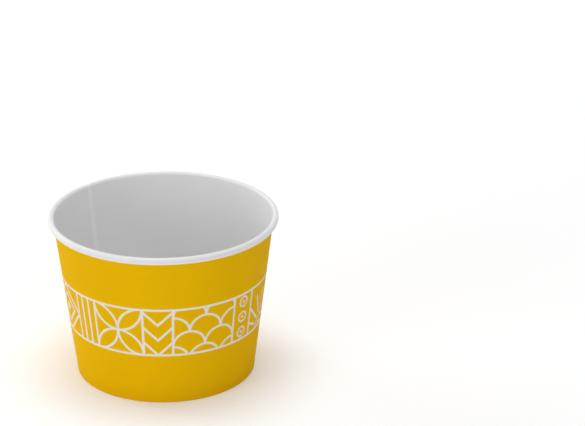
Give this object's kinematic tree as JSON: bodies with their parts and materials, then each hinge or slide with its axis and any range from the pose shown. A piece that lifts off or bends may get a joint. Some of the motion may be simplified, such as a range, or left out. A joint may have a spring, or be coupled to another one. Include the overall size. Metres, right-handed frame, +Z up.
{
  "type": "paper ice cream cup",
  "caption": "Small round tapered paper cup with a rolled rim, a lapped side seam, a raised bottom disc and a printed band of geometric tiles, for a portion of ice cream.",
  "frame": {"origin": "centre of the foot ring, on the surface the cup stands on", "axes": "+Z up along the cup's axis; -Y is the side towards the picture's camera, and the printed band runs round from -X through -Y to +X"},
  "size_m": [0.064, 0.064, 0.0463],
  "materials": {
    "printed_board": "yellow printed board with a satin varnish outside, white film inside",
    "white_board": "white board, film on the food side, plain paper underneath"
  },
  "bodies": {
    "root": {"sidewall": "printed_board", "bottom_disc": "white_board"}
  },
  "joints": []
}
